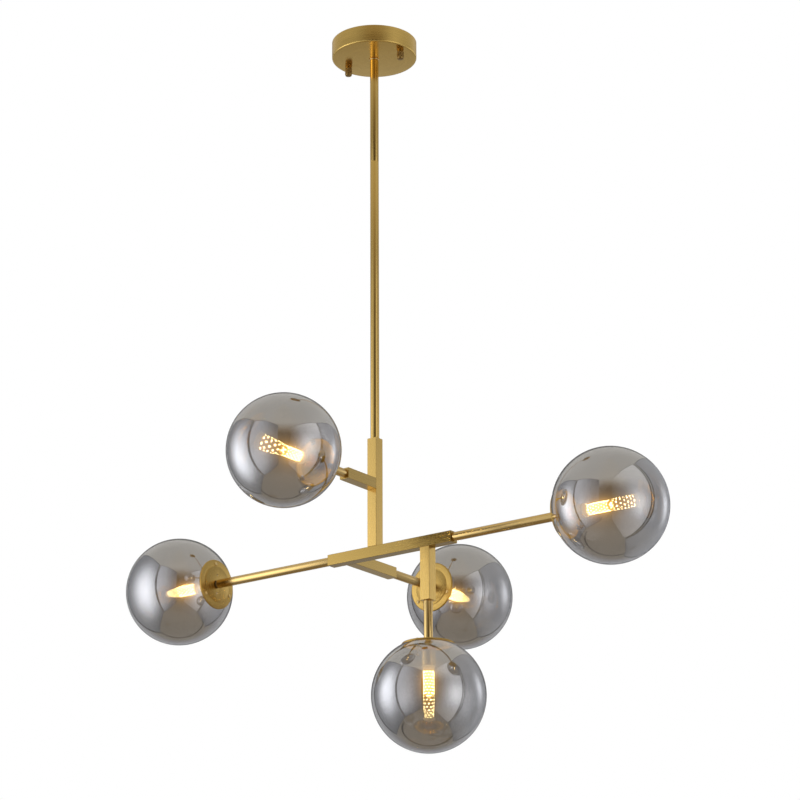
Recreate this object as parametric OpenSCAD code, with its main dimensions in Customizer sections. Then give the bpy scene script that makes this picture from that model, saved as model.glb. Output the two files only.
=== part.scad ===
// Branch chandelier with five glass globes.
// A round canopy carries a two-piece stem. Under it a welded frame of square
// brass bars (an upright post, a long crossbar and three short bars) holds five
// round arm tubes, and each tube ends in a shade holder, a lampholder, a bulb
// and a smoked glass globe.
// Frame: +Z up, origin on the stem axis in the ceiling plane, the lamp hangs
// to -Z. +X runs along the crossbar towards the far-reaching right arm, +Y
// towards the rear arm, -Y towards the upper arm.

/* [Canopy] */
// Diameter of the round canopy
canopy_d = 120; // [110:1:140]
// Height of the canopy
canopy_h = 25; // [25:1:32]
// Sheet thickness of the canopy
canopy_wall = 1.2; // [1:0.1:1.6]
// Distance between the two mounting studs
stud_spacing = 92; // [90:1:96]
// Diameter of the knurled nuts under the canopy
knob_d = 10; // [9:0.5:12]
// Height of the knurled nuts
knob_h = 13; // [10:0.5:14]
// Distance between the two screw slots in the ceiling bracket
slot_spacing = 60; // [56:1:60]

/* [Stem] */
// Outer diameter of the stem rods and the arm tubes
rod_d = 12; // [12:0.5:14]
// Length of the upper stem rod
upper_rod_len = 157; // [100:1:300]
// Length of the lower stem rod
lower_rod_len = 408; // [200:1:600]

/* [Square frame] */
// Side of the square bars
bar_w = 15; // [14:0.5:18]
// Wall of the square bars
bar_wall = 1.2; // [1:0.1:1.5]
// Length of the upright post
post_len = 152; // [140:1:200]
// Crossbar end on the left of the post
crossbar_left = 75; // [70:1:100]
// Crossbar end on the right of the post
crossbar_right = 129; // [110:1:160]
// Height of the upper arm over the crossbar, axis to axis
upper_arm_rise = 94; // [80:1:120]
// Length of the upper arm's square bar
upper_bar_len = 61; // [40:1:80]
// Distance of the rear arm to the left of the post
rear_arm_offset = 46; // [30:1:50]
// Length of the rear arm's square bar
rear_bar_len = 93.5; // [60:0.5:120]
// Distance of the drop bar to the right of the post
drop_offset = 86.5; // [60:0.5:100]
// Length of the drop bar
drop_bar_len = 72; // [50:1:100]

/* [Reach of the globes] */
// Stem axis to the centre of the left globe
left_reach = 344; // [320:1:400]
// Stem axis to the centre of the right globe
right_reach = 371; // [340:1:420]
// Stem axis to the centre of the upper globe
upper_reach = 197; // [180:1:260]
// Stem axis to the centre of the rear globe
rear_reach = 262; // [240:1:320]
// Crossbar axis to the centre of the bottom globe
drop_reach = 206; // [190:1:260]

/* [Glass] */
// Outer diameter of the glass globes
globe_d = 150; // [146:1:154]
// Thickness of the glass
glass_t = 1.8; // [1.5:0.1:2.2]
// Radius of the globe's mouth
mouth_r = 32.2; // [32:0.1:32.6]

/* [Bulb] */
// Diameter of the bulb's clear cover
bulb_d = 16.4; // [14:0.2:18]
// Length of the bulb's clear cover
bulb_len = 34; // [28:1:36]
// Diameter of the ceramic lampholder
socket_d = 19; // [17:0.5:20]

/* [Hidden] */

// Colours
brass      = [0.78, 0.60, 0.27];
brass_dark = [0.62, 0.46, 0.20];
zinc       = [0.72, 0.73, 0.75];
white_clay = [0.90, 0.88, 0.83];
smoke      = [0.55, 0.55, 0.56, 0.45];
warm       = [1.00, 0.88, 0.60];

// Levels along Z
collar_h  = 2;
rod_top_z = -canopy_h - collar_h;
joint_z   = rod_top_z - upper_rod_len;
post_top  = joint_z - lower_rod_len;
bar_z     = post_top - post_len - bar_w / 2;      // axis of the crossbar
upper_z   = bar_z + upper_arm_rise;               // axis of the upper arm
drop_end  = bar_z - bar_w / 2 - drop_bar_len;     // lower end of the drop bar
hb        = bar_w / 2;

// Threads: M10 x 1 lamp thread through the stem and the arms, M4 studs, M3 screws
thread_r = 4.97;
tap_r    = 5.00;
bore_r   = 3.4;
rod_r    = rod_d / 2;
plug_t   = 4;

// Stations along an arm, measured from the globe's centre towards the arm
s_tube   = 71.8;    // end of the arm tube
s_boss   = 69.8;    // outer face of the holder's raised middle
s_rim    = 69.0;    // outer face of the holder's flat ring
s_back   = 68.0;    // inner face of the holder
s_nut    = 65.0;    // inner face of the lock nut
s_clay   = 63.8;    // back of the ceramic lampholder
s_face   = 38.0;    // front of the ceramic lampholder, where the bulb sits
s_cover  = 31.5;    // start of the bulb's clear cover
holder_r = 35;
boss_r   = 25.5;
clip_screw_r = 28.8;

// A light unit: globe centre, turn that takes local +Z outward along the arm,
// angle of the first clip screw, angle of the two vent holes
LEFT  = [[-left_reach, 0, bar_z], [0, -90, 0], -7, 0];
RIGHT = [[right_reach, 0, bar_z], [0, 90, 0], 187, 0];
UPPER = [[0, -upper_reach, upper_z], [90, 0, 0], 98, 90];
REAR  = [[-rear_arm_offset, rear_reach, bar_z], [-90, 0, 0], -98, 90];
DROP  = [[drop_offset, 0, bar_z - drop_reach], [180, 0, 0], -36, 54];
UNITS = [LEFT, RIGHT, UPPER, REAR, DROP];

// Length of each arm tube: from the bar's end to its station before the holder
tube_len = [left_reach - s_tube - crossbar_left,
            right_reach - s_tube - crossbar_right,
            upper_reach - s_tube - hb - upper_bar_len,
            rear_reach - s_tube - hb - rear_bar_len,
            drop_reach - s_tube - hb - drop_bar_len];

module at_unit(u) { translate(u[0]) rotate(u[1]) children(); }

// A round tube standing on z = 0, with small chamfers at both ends
module round_tube(ro, ri, len, c = 0.35) {
  rotate_extrude($fn = 64)
    polygon([[ri, 0], [ro - c, 0], [ro, c], [ro, len - c], [ro - c, len], [ri, len]]);
}

// Plain threaded pipe standing on z = 0
module lamp_pipe(len) {
  rotate_extrude($fn = 48)
    polygon([[bore_r, 0], [thread_r - 0.4, 0], [thread_r, 0.4], [thread_r, len - 0.4],
             [thread_r - 0.4, len], [bore_r, len]]);
}

module hex_nut(flats, h, r) {
  difference() {
    cylinder(r = flats / 2 / cos(30), h = h, $fn = 6);
    translate([0, 0, -1]) cylinder(r = r, h = h + 2, $fn = 48);
  }
}

// A square bar from z = 0 to len, closed at its far end by a tapped plug
module square_bar(len) {
  difference() {
    translate([-hb, -hb, 0]) cube([bar_w, bar_w, len]);
    translate([-hb + bar_wall, -hb + bar_wall, -1])
      cube([bar_w - 2 * bar_wall, bar_w - 2 * bar_wall, len - plug_t + 1]);
    translate([0, 0, len - plug_t - 1]) cylinder(r = tap_r, h = plug_t + 2, $fn = 48);
  }
}

// ---------------------------------------------------------------- ceiling

// Flat steel strap with two slots for the box screws and two tapped stud holes
module ceiling_bracket() {
  slot_l = 14;
  slot_r = 2.5;
  color(zinc)
  difference() {
    union() {
      translate([-52, -11, -1.6]) cube([104, 22, 1.6]);
      // stiffening flanges bent down along both long sides
      translate([-24, -11, -5]) cube([48, 1.6, 3.6]);
      translate([-24, 9.4, -5]) cube([48, 1.6, 3.6]);
    }
    for (x = [-slot_spacing / 2, slot_spacing / 2])
      translate([x, 0, -3]) {
        translate([-(slot_l / 2 - slot_r), -slot_r, 0]) cube([slot_l - 2 * slot_r, 2 * slot_r, 5]);
        for (e = [-1, 1])
          translate([e * (slot_l / 2 - slot_r), 0, 0]) cylinder(r = slot_r, h = 5, $fn = 32);
      }
    for (x = [-stud_spacing / 2, stud_spacing / 2])
      translate([x, 0, -3]) cylinder(r = 2.02, h = 5, $fn = 32);
    translate([13, 0, -3]) cylinder(r = 2.02, h = 5, $fn = 32);
  }
}

// Two M4 studs that carry the canopy
module canopy_studs() {
  color(zinc)
  for (x = [-stud_spacing / 2, stud_spacing / 2])
    translate([x, 0, -canopy_h - knob_h + 2])
      cylinder(r = 1.98, h = canopy_h + knob_h - 2.2, $fn = 32);
}

module stud_lock_nuts() {
  color(zinc)
  for (x = [-stud_spacing / 2, stud_spacing / 2])
    translate([x, 0, -4.8]) hex_nut(7, 3.2, 2.02);
}

// Green pan-head earth screw with its cup washer
module ground_screw() {
  color([0.20, 0.50, 0.24])
  translate([13, 0, 0]) {
    translate([0, 0, -5.2]) cylinder(r = 1.98, h = 4.9, $fn = 32);
    difference() {
      translate([0, 0, -4.6])
        rotate_extrude($fn = 32)
          polygon([[0, 0], [2.6, 0], [3.6, 0.7], [3.8, 1.4], [3.8, 2.2], [4.6, 2.2], [4.6, 3.0], [0, 3.0]]);
      translate([-0.5, -5, -5.5]) cube([1.0, 10, 1.5]);
    }
  }
}

// Spun cup with a rounded lower edge, a centre hole and two stud holes
module canopy() {
  r = canopy_d / 2;
  t = canopy_wall;
  f = 2.2;                                   // radius of the lower edge
  outer = [for (a = [0 : 15 : 90]) [r - f + f * sin(a), -canopy_h + f - f * cos(a)]];
  inner = [for (a = [90 : -15 : 0]) [r - f + (f - t) * sin(a), -canopy_h + f - (f - t) * cos(a)]];
  color(brass)
  difference() {
    rotate_extrude($fn = 128)
      polygon(concat([[0, -canopy_h]], outer, [[r, 0], [r - t, 0]], inner, [[0, -canopy_h + t]]));
    translate([0, 0, -canopy_h - 1]) cylinder(r = 5.05, h = 5, $fn = 48);
    for (x = [-stud_spacing / 2, stud_spacing / 2])
      translate([x, 0, -canopy_h - 1]) cylinder(r = 2.3, h = 5, $fn = 32);
  }
}

module stem_washer() {
  color(zinc)
  translate([0, 0, -canopy_h + canopy_wall])
    difference() {
      cylinder(r = 10, h = 1.2, $fn = 64);
      translate([0, 0, -1]) cylinder(r = 5.05, h = 4, $fn = 48);
    }
}

// Knurled nut with a blind bore for the M4 stud
module canopy_nut(side) {
  n = 30;
  kr = knob_d / 2;
  bore_top = 2;
  color(brass_dark)
  translate([side * stud_spacing / 2, 0, -canopy_h])
    difference() {
      union() {
        translate([0, 0, -1.4]) cylinder(r = kr - 0.5, h = 1.4, $fn = 48);
        translate([0, 0, -knob_h + 1.6])
          linear_extrude(height = knob_h - 3)
            polygon([for (i = [0 : 2 * n - 1])
                       let (a = i * 180 / n, q = (i % 2 == 0) ? kr : kr - 0.35)
                       [q * cos(a), q * sin(a)]]);
        translate([0, 0, -knob_h])
          rotate_extrude($fn = 48)
            polygon([[0, 0], [kr - 1.6, 0], [kr - 0.7, 0.5], [kr - 0.4, 1.1], [kr - 0.4, 1.6], [0, 1.6]]);
      }
      translate([0, 0, -knob_h + bore_top - 0.6]) cylinder(r = 2.06, h = knob_h, $fn = 32);
    }
}
module left_canopy_nut()  { canopy_nut(-1); }
module right_canopy_nut() { canopy_nut(1); }

// ------------------------------------------------------------------- stem

// Threaded pipe from inside the canopy down into the upper rod
module stem_nipple() {
  color(zinc) translate([0, 0, -canopy_h - 20]) lamp_pipe(canopy_h - 13 + 20);
}

module stem_nut() {
  color(zinc) translate([0, 0, -canopy_h + canopy_wall + 1.2]) hex_nut(14, 4, 5.0);
}

// Bright bead between the canopy and the rod
module stem_collar() {
  color(brass)
  translate([0, 0, -canopy_h - collar_h])
    rotate_extrude($fn = 64)
      polygon([[5.02, 0], [6.1, 0], [6.9, 0.5], [7.1, 1.0], [6.9, 1.5], [6.4, 2.0], [5.02, 2.0]]);
}

module upper_rod()    { color(brass) translate([0, 0, joint_z]) round_tube(rod_r, tap_r, upper_rod_len); }
module rod_coupling() { color(zinc)  translate([0, 0, joint_z - 15]) lamp_pipe(30); }
module lower_rod()    { color(brass) translate([0, 0, post_top]) round_tube(rod_r, tap_r, lower_rod_len); }
module post_nipple()  { color(zinc)  translate([0, 0, post_top - 12]) lamp_pipe(26); }

// ----------------------------------------------------------- square frame

module post() {
  color(brass)
  difference() {
    translate([0, 0, post_top - post_len]) square_bar(post_len);
    // way for the upper arm's wires
    translate([0, 0, upper_z]) rotate([90, 0, 0]) cylinder(r = 4, h = bar_w, $fn = 32);
  }
}

module crossbar() {
  color(brass)
  difference() {
    translate([-crossbar_left, -hb, bar_z - hb]) cube([crossbar_left + crossbar_right, bar_w, bar_w]);
    translate([-crossbar_left + plug_t, -hb + bar_wall, bar_z - hb + bar_wall])
      cube([crossbar_left + crossbar_right - 2 * plug_t, bar_w - 2 * bar_wall, bar_w - 2 * bar_wall]);
    // tapped ends
    for (x = [-crossbar_left - 1, crossbar_right - plug_t - 1])
      translate([x, 0, bar_z]) rotate([0, 90, 0]) cylinder(r = tap_r, h = plug_t + 2, $fn = 48);
    // ways for the wires: from the post, to the rear arm, to the drop bar
    translate([0, 0, bar_z]) cylinder(r = 4, h = bar_w, $fn = 32);
    translate([-rear_arm_offset, 0, bar_z]) rotate([-90, 0, 0]) cylinder(r = 4, h = bar_w, $fn = 32);
    translate([drop_offset, 0, bar_z - bar_w]) cylinder(r = 4, h = bar_w, $fn = 32);
  }
}

module upper_arm_bar() {
  color(brass) translate([0, -hb, upper_z]) rotate([90, 0, 0]) square_bar(upper_bar_len);
}
module rear_arm_bar() {
  color(brass) translate([-rear_arm_offset, hb, bar_z]) rotate([-90, 0, 0]) square_bar(rear_bar_len);
}
module drop_bar() {
  color(brass) translate([drop_offset, 0, bar_z - hb]) rotate([180, 0, 0]) square_bar(drop_bar_len);
}

// The five arm tubes start at these stations before each globe
module arm_tube(i) {
  at_unit(UNITS[i])
    translate([0, 0, -s_tube - tube_len[i]]) round_tube(rod_r, tap_r, tube_len[i], 0.6);
}
module left_arm_tube()  { color(brass) arm_tube(0); }
module right_arm_tube() { color(brass) arm_tube(1); }
module upper_arm_tube() { color(brass) arm_tube(2); }
module rear_arm_tube()  { color(brass) arm_tube(3); }
module drop_arm_tube()  { color(brass) arm_tube(4); }

// Threaded pipes that join each bar to its tube
module bar_nipples() {
  color(zinc)
  for (i = [0 : 4])
    at_unit(UNITS[i]) translate([0, 0, -s_tube - tube_len[i] - 6]) lamp_pipe(18);
}

// ----------------------------------------------------------- shade holder

// Spun brass disc that covers the globe's mouth: raised middle, flat ring,
// turned-in rim, with a centre hole, three screw holes and two vent holes
module shade_holder(u) {
  R = holder_r;
  color(brass)
  at_unit(u)
  difference() {
    rotate_extrude($fn = 96)
      polygon([[5.02, -s_boss], [boss_r - 0.4, -s_boss], [boss_r, -s_boss + 0.4], [boss_r, -s_rim],
               [R - 1.4, -s_rim], [R - 0.7, -s_rim + 0.2], [R - 0.2, -s_rim + 0.7], [R, -s_rim + 1.4],
               [R, -66.75], [R - 0.9, -67.2], [R - 1.7, -67.65], [R - 2.1, -s_back], [5.02, -s_back]]);
    for (k = [0 : 2])
      rotate([0, 0, u[2] + 120 * k]) translate([clip_screw_r, 0, -s_boss - 1])
        cylinder(r = 1.55, h = 4, $fn = 32);
    for (k = [0, 180])
      rotate([0, 0, u[3] + k]) translate([13, 0, -s_boss - 1]) cylinder(r = 1.6, h = 4, $fn = 32);
  }
}
module left_shade_holder()  { shade_holder(LEFT); }
module right_shade_holder() { shade_holder(RIGHT); }
module upper_shade_holder() { shade_holder(UPPER); }
module rear_shade_holder()  { shade_holder(REAR); }
module drop_shade_holder()  { shade_holder(DROP); }

module holder_nipples() {
  color(zinc)
  for (u = UNITS) at_unit(u) translate([0, 0, -s_tube - 10]) lamp_pipe(10 + s_tube - 62.5);
}

module holder_nuts() {
  color(zinc) for (u = UNITS) at_unit(u) translate([0, 0, -s_back]) hex_nut(14, 3, 5.0);
}

// One leaf spring: a foot under the holder and a sprung leg that grips the
// edge of the globe's mouth from inside, drawn pressed in
module leaf_clip() {
  t = 0.6;
  difference() {
    translate([0, 3.5, 0]) rotate([90, 0, 0])
      linear_extrude(height = 7)
        polygon([[25.6, -s_back], [31.1, -s_back], [31.1, -65.2], [31.55, -62.6], [31.0, -60.4],
                 [29.6, -58.6], [29.1, -58.95], [30.4, -60.6], [30.9, -62.6], [30.5, -65.2],
                 [30.5, -s_back + t], [25.6, -s_back + t]]);
    translate([clip_screw_r, 0, -s_back - 1]) cylinder(r = 1.52, h = 3, $fn = 32);
  }
}
module glass_clips() {
  color(zinc)
  for (u = UNITS) at_unit(u) for (k = [0 : 2]) rotate([0, 0, u[2] + 120 * k]) leaf_clip();
}

// Round-head M3 screws that hold the clips, with their heads outside
module clip_screws() {
  color(brass)
  for (u = UNITS) at_unit(u) for (k = [0 : 2])
    rotate([0, 0, u[2] + 120 * k]) translate([clip_screw_r, 0, -s_rim]) {
      rotate_extrude($fn = 32)
        polygon([[0, -1.7], [1.2, -1.55], [2.0, -1.1], [2.4, -0.4], [2.5, 0], [0, 0]]);
      cylinder(r = 1.48, h = 3.2, $fn = 32);
    }
}

// ------------------------------------------------------------- lampholder

module lampholder_brackets() {
  color(zinc)
  for (u = UNITS) at_unit(u) translate([0, 0, -s_nut])
    difference() {
      cylinder(r = socket_d / 2, h = s_nut - s_clay, $fn = 64);
      translate([0, 0, -1]) cylinder(r = 5.0, h = 4, $fn = 48);
    }
}

// Ceramic body with a hollow back for the wires and two slots for the pins
module lampholder(u) {
  r = socket_d / 2;
  L = s_clay - s_face;
  color(white_clay)
  at_unit(u) translate([0, 0, -s_clay])
    difference() {
      rotate_extrude($fn = 64)
        polygon([[0, 3.6], [6.2, 3.6], [6.2, 0], [r, 0], [r, L - 0.6], [r - 0.6, L], [0, L]]);
      for (e = [-1, 1])
        translate([e * 4.5 - 0.75, -2.1, L - 9]) cube([1.5, 4.2, 12]);
    }
}
module left_lampholder()  { lampholder(LEFT); }
module right_lampholder() { lampholder(RIGHT); }
module upper_lampholder() { lampholder(UPPER); }
module rear_lampholder()  { lampholder(REAR); }
module drop_lampholder()  { lampholder(DROP); }

// ------------------------------------------------------------------- bulb

// Round-ended clear cover around the lit column
module bulb(u) {
  r = bulb_d / 2;
  f = 5;
  dome = [for (a = [0 : 15 : 90]) [r - f + f * cos(a), bulb_len - f + f * sin(a)]];
  color(warm)
  at_unit(u) translate([0, 0, -s_cover])
    rotate_extrude($fn = 64) polygon(concat([[0, 0], [r, 0]], dome, [[0, bulb_len]]));
}
module left_bulb()  { bulb(LEFT); }
module right_bulb() { bulb(RIGHT); }
module upper_bulb() { bulb(UPPER); }
module rear_bulb()  { bulb(REAR); }
module drop_bulb()  { bulb(DROP); }

// White base with two wire-loop pins, 9 mm apart
module bulb_base(u) {
  color(white_clay)
  at_unit(u) {
    translate([0, 0, -s_face]) cylinder(r = bulb_d / 2 - 0.5, h = s_face - s_cover, $fn = 64);
    for (e = [-1, 1]) translate([e * 4.5, 0, -s_face]) {
      for (y = [-1.2, 1.2]) translate([0, y, -5.2]) cylinder(r = 0.4, h = 6.2, $fn = 16);
      translate([0, 0, -5.2]) rotate([0, 90, 0]) rotate([0, 0, -90])
        rotate_extrude(angle = 180, $fn = 32) translate([1.2, 0]) circle(r = 0.4, $fn = 16);
    }
  }
}
module left_bulb_base()  { bulb_base(LEFT); }
module right_bulb_base() { bulb_base(RIGHT); }
module upper_bulb_base() { bulb_base(UPPER); }
module rear_bulb_base()  { bulb_base(REAR); }
module drop_bulb_base()  { bulb_base(DROP); }

// ------------------------------------------------------------------ glass

// Thin ball of smoked glass with a round mouth towards the arm
module globe(u) {
  color(smoke)
  at_unit(u)
  difference() {
    sphere(r = globe_d / 2, $fn = 120);
    sphere(r = globe_d / 2 - glass_t, $fn = 120);
    translate([0, 0, -globe_d / 2 - 5]) cylinder(r = mouth_r, h = 45, $fn = 96);
  }
}
module left_globe()  { globe(LEFT); }
module right_globe() { globe(RIGHT); }
module upper_globe() { globe(UPPER); }
module rear_globe()  { globe(REAR); }
module drop_globe()  { globe(DROP); }

// ----------------------------------------------------------------- wiring

// Cable that runs inside the stem, the bars and the arm tubes to each lampholder
module wiring_harness() {
  end_s = 61.2;
  color([0.85, 0.84, 0.80])
  union() {
    translate([0, 0, bar_z]) cylinder(r = 2.0, h = -16 - bar_z, $fn = 32);
    translate([-left_reach + end_s, 0, bar_z]) rotate([0, 90, 0])
      cylinder(r = 1.6, h = left_reach + right_reach - 2 * end_s, $fn = 32);
    translate([0, 0, upper_z]) rotate([90, 0, 0]) cylinder(r = 1.6, h = upper_reach - end_s, $fn = 32);
    translate([-rear_arm_offset, 0, bar_z]) rotate([-90, 0, 0]) cylinder(r = 1.5, h = rear_reach - end_s, $fn = 32);
    translate([drop_offset, 0, bar_z - drop_reach + end_s]) cylinder(r = 1.5, h = drop_reach - end_s, $fn = 32);
  }
}

// Two leads that leave the nipple and turn flat inside the canopy
module supply_leads() {
  color([0.85, 0.84, 0.80])
  for (e = [0, 180]) rotate([0, 0, e]) translate([0, 1.4, 0]) {
    translate([0, 0, -16]) cylinder(r = 0.9, h = 4, $fn = 24);
    translate([0, 4, -12]) rotate([0, 0, 90]) rotate([90, 0, 0]) rotate([0, 0, 90])
      rotate_extrude(angle = 90, $fn = 32) translate([4, 0]) circle(r = 0.9, $fn = 24);
    translate([0, 4, -8]) rotate([-90, 0, 0]) cylinder(r = 0.9, h = 17, $fn = 24);
  }
}

// Closed-end connectors for the supply wires
module wire_connectors() {
  color([0.90, 0.55, 0.16])
  for (e = [0, 180]) rotate([0, 0, e]) translate([0, 22.4, -8]) rotate([-90, 0, 0])
    rotate_extrude($fn = 32) polygon([[0, 0], [2.9, 0], [2.9, 8], [2.2, 14], [1.2, 15], [0, 15]]);
}

ceiling_bracket();
canopy_studs();
stud_lock_nuts();
ground_screw();
canopy();
stem_washer();
left_canopy_nut();
right_canopy_nut();
stem_nipple();
stem_nut();
stem_collar();
upper_rod();
rod_coupling();
lower_rod();
post_nipple();
post();
crossbar();
upper_arm_bar();
rear_arm_bar();
drop_bar();
bar_nipples();
left_arm_tube();
right_arm_tube();
upper_arm_tube();
rear_arm_tube();
drop_arm_tube();
left_shade_holder();
right_shade_holder();
upper_shade_holder();
rear_shade_holder();
drop_shade_holder();
holder_nipples();
holder_nuts();
glass_clips();
clip_screws();
lampholder_brackets();
left_lampholder();
right_lampholder();
upper_lampholder();
rear_lampholder();
drop_lampholder();
wiring_harness();
supply_leads();
wire_connectors();
left_globe();
right_globe();
upper_globe();
rear_globe();
drop_globe();
left_bulb();
right_bulb();
upper_bulb();
rear_bulb();
drop_bulb();
left_bulb_base();
right_bulb_base();
upper_bulb_base();
rear_bulb_base();
drop_bulb_base();
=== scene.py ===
import bpy
import math
from mathutils import Matrix, Vector


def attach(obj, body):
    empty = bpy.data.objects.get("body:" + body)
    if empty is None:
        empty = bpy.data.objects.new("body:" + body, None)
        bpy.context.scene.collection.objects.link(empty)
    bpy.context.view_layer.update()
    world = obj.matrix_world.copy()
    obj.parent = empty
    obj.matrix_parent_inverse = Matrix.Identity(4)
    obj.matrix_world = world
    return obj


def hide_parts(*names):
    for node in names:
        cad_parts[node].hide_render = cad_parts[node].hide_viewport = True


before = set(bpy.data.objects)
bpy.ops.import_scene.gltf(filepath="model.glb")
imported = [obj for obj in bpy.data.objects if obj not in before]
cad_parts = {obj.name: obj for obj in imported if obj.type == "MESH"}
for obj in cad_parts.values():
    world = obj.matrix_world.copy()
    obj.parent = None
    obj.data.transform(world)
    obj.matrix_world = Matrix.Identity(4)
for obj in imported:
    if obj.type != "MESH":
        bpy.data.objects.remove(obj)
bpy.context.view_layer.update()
scene = bpy.context.scene
MM = 0.001

# ----------------------------------------------------------------- sizes (mm)
CANOPY_R, CANOPY_H, CANOPY_T = 60.0, 25.0, 1.2
STUD_X, KNOB_R, KNOB_H = 46.0, 5.0, 13.0
ROD_R, TAP_R, BORE_R = 6.0, 5.0, 3.4
JOINT_Z, POST_TOP, POST_LEN = -184.0, -592.0, 152.0
BAR_W, PLUG_T = 15.0, 4.0
BAR_Z, UPPER_Z, DROP_END = -751.5, -657.5, -831.0
S_TUBE, S_BOSS, S_RIM, S_BACK, S_NUT = 71.8, 69.8, 69.0, 68.0, 65.0
S_CLAY, S_FACE, S_COVER = 63.8, 38.0, 31.5
GLOBE_R, GLASS_T, MOUTH_R = 75.0, 1.8, 32.2
SOCKET_R, BULB_R, BULB_LEN = 9.5, 8.2, 34.0
# side: globe centre, turn that takes local +Z outward, first screw's angle, vent holes' angle, arm tube's length
UNITS = {
    "left": ((-344.0, 0, BAR_Z), (0, -90, 0), -7, 0, 197.2),
    "right": ((371.0, 0, BAR_Z), (0, 90, 0), 187, 0, 170.2),
    "upper": ((0, -197.0, UPPER_Z), (90, 0, 0), 98, 90, 56.7),
    "rear": ((-46.0, 262.0, BAR_Z), (-90, 0, 0), -98, 90, 89.2),
    "drop": ((86.5, 0, BAR_Z - 206.0), (180, 0, 0), -36, 54, 54.7),
}


def euler(deg):
    return (
        Matrix.Rotation(math.radians(deg[2]), 4, "Z")
        @ Matrix.Rotation(math.radians(deg[1]), 4, "Y")
        @ Matrix.Rotation(math.radians(deg[0]), 4, "X")
    )


def unit_matrix(side):
    c, turn = UNITS[side][:2]
    return Matrix.Translation(Vector(c) * MM) @ euler(turn)


# --------------------------------------------------------------- mesh helpers
def make(name, verts, faces, mat, world=None, body=None, replaces=(), slot=None, sharp=35, smooth=True):
    """A piece from points in millimetres, in its own frame, placed by world (metres)."""
    me = bpy.data.meshes.new(name)
    me.from_pydata([(x * MM, y * MM, z * MM) for x, y, z in verts], [], faces)
    me.validate()
    if smooth:
        me.shade_smooth()
        me.set_sharp_from_angle(angle=math.radians(sharp))
    me.update()
    ob = bpy.data.objects.new(name, me)
    scene.collection.objects.link(ob)
    for m in mat if isinstance(mat, (list, tuple)) else [mat]:
        me.materials.append(m)
    if world is not None:
        ob.matrix_world = world
    if body:
        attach(ob, body)
    if replaces:
        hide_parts(*([replaces] if isinstance(replaces, str) else replaces))
    return ob


def lathe(profile, seg, closed=True):
    """Points and faces of a profile [(r, z)] turned about Z. A point with r 0 is a pole. The profile runs so that faces point outward
    when it goes anticlockwise in the (r, z) half plane."""
    verts, rings = [], []
    for r, z in profile:
        if r < 1e-6:
            rings.append([len(verts)])
            verts.append((0.0, 0.0, z))
        else:
            rings.append(list(range(len(verts), len(verts) + seg)))
            verts += [(r * math.cos(2 * math.pi * k / seg), r * math.sin(2 * math.pi * k / seg), z) for k in range(seg)]
    faces = []
    n = len(profile)
    for i in range(n if closed else n - 1):
        a, b = rings[i], rings[(i + 1) % n]
        if len(a) == 1 and len(b) == 1:
            continue
        for k in range(seg):
            j = (k + 1) % seg
            if len(a) == 1:
                faces.append((a[0], b[j], b[k]))
            elif len(b) == 1:
                faces.append((a[k], a[j], b[0]))
            else:
                faces.append((a[k], a[j], b[j], b[k]))
    return verts, faces


def arc(cx, cz, r, a0, a1, n):
    return [(cx + r * math.cos(math.radians(a0 + (a1 - a0) * i / n)), cz + r * math.sin(math.radians(a0 + (a1 - a0) * i / n))) for i in range(n + 1)]


def join(*parts):
    verts, faces = [], []
    for v, f in parts:
        o = len(verts)
        verts += v
        faces += [tuple(i + o for i in q) for q in f]
    return verts, faces


def moved(part, m):
    """part with its points (mm) taken through the 4x4 matrix m, whose translation is in mm."""
    v, f = part
    out = [tuple(m @ Vector(p)) for p in v]
    if m.to_3x3().determinant() < 0:
        f = [tuple(reversed(q)) for q in f]
    return out, f


def rounded_bar(lo, hi, r=0.55, seg=3):
    """A bar from corner lo to corner hi with rounded edges all round: rings of a rounded square along its own length, closed by flat ends."""
    size = [hi[i] - lo[i] for i in range(3)]
    long = max(range(3), key=lambda i: size[i])
    u, v = [(1, 2), (2, 0), (0, 1)][long]
    c = [(lo[i] + hi[i]) / 2 for i in range(3)]
    hu, hv = size[u] / 2, size[v] / 2

    def ring(inset, at):
        pts = []
        for k, (su, sv) in enumerate(((1, 1), (-1, 1), (-1, -1), (1, -1))):
            for i in range(seg + 1):
                a = math.radians(90 * k + 90 * i / seg)
                p = [0.0, 0.0, 0.0]
                p[u] = c[u] + su * (hu - r) + (r - inset) * math.cos(a)
                p[v] = c[v] + sv * (hv - r) + (r - inset) * math.sin(a)
                p[long] = at
                pts.append(tuple(p))
        return pts

    steps = [(r * (1 - math.sin(math.radians(90 * i / seg))), r * (1 - math.cos(math.radians(90 * i / seg)))) for i in range(seg + 1)]
    rings = [ring(i, lo[long] + d) for i, d in steps] + [ring(i, hi[long] - d) for i, d in reversed(steps)]
    n = 4 * (seg + 1)
    verts = [p for q in rings for p in q]
    faces = [tuple(reversed(range(n)))]
    for k in range(len(rings) - 1):
        for i in range(n):
            j = (i + 1) % n
            faces.append((k * n + i, k * n + j, (k + 1) * n + j, (k + 1) * n + i))
    faces.append(tuple(range((len(rings) - 1) * n, len(rings) * n)))
    return verts, faces


def screw_thread(r, depth, pitch, z0, z1, seg=48, per=6):
    """An outside thread between z0 and z1, open at both ends."""
    nz = max(2, int((z1 - z0) / pitch * per))
    verts, faces = [], []
    for i in range(nz + 1):
        z = z0 + (z1 - z0) * i / nz
        for k in range(seg):
            t = (z / pitch - k / seg) % 1.0
            h = abs(2 * t - 1)
            rr = r - depth * (1 - min(1.0, h * 1.25))
            a = 2 * math.pi * k / seg
            verts.append((rr * math.cos(a), rr * math.sin(a), z))
    for i in range(nz):
        for k in range(seg):
            j = (k + 1) % seg
            faces.append((i * seg + k, i * seg + j, (i + 1) * seg + j, (i + 1) * seg + k))
    return verts, faces


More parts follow.
